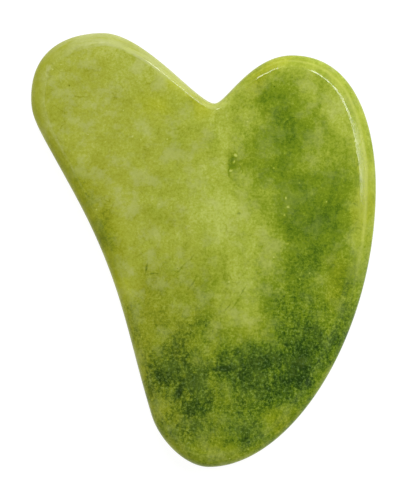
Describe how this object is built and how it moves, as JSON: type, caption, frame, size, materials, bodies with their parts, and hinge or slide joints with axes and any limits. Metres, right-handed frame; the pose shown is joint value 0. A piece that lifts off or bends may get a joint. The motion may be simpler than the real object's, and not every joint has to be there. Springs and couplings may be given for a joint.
{
  "type": "gua sha scraper",
  "caption": "Flat plate of polished green stone with a heart-like outline, two lobes with a V between them, a long tapering tip and a rounded rim, for scraping massage.",
  "frame": {"origin": "centre of the outline's box, on the back face that the stone lies on", "axes": "+X to the right of the front face, +Y from the tip to the lobes, +Z out of the front face"},
  "size_m": [0.0636, 0.08, 0.006],
  "materials": {
    "green_stone": "polished, clouded yellow-green to dark green"
  },
  "bodies": {
    "root": {"scraper_stone": "green_stone"}
  },
  "joints": []
}
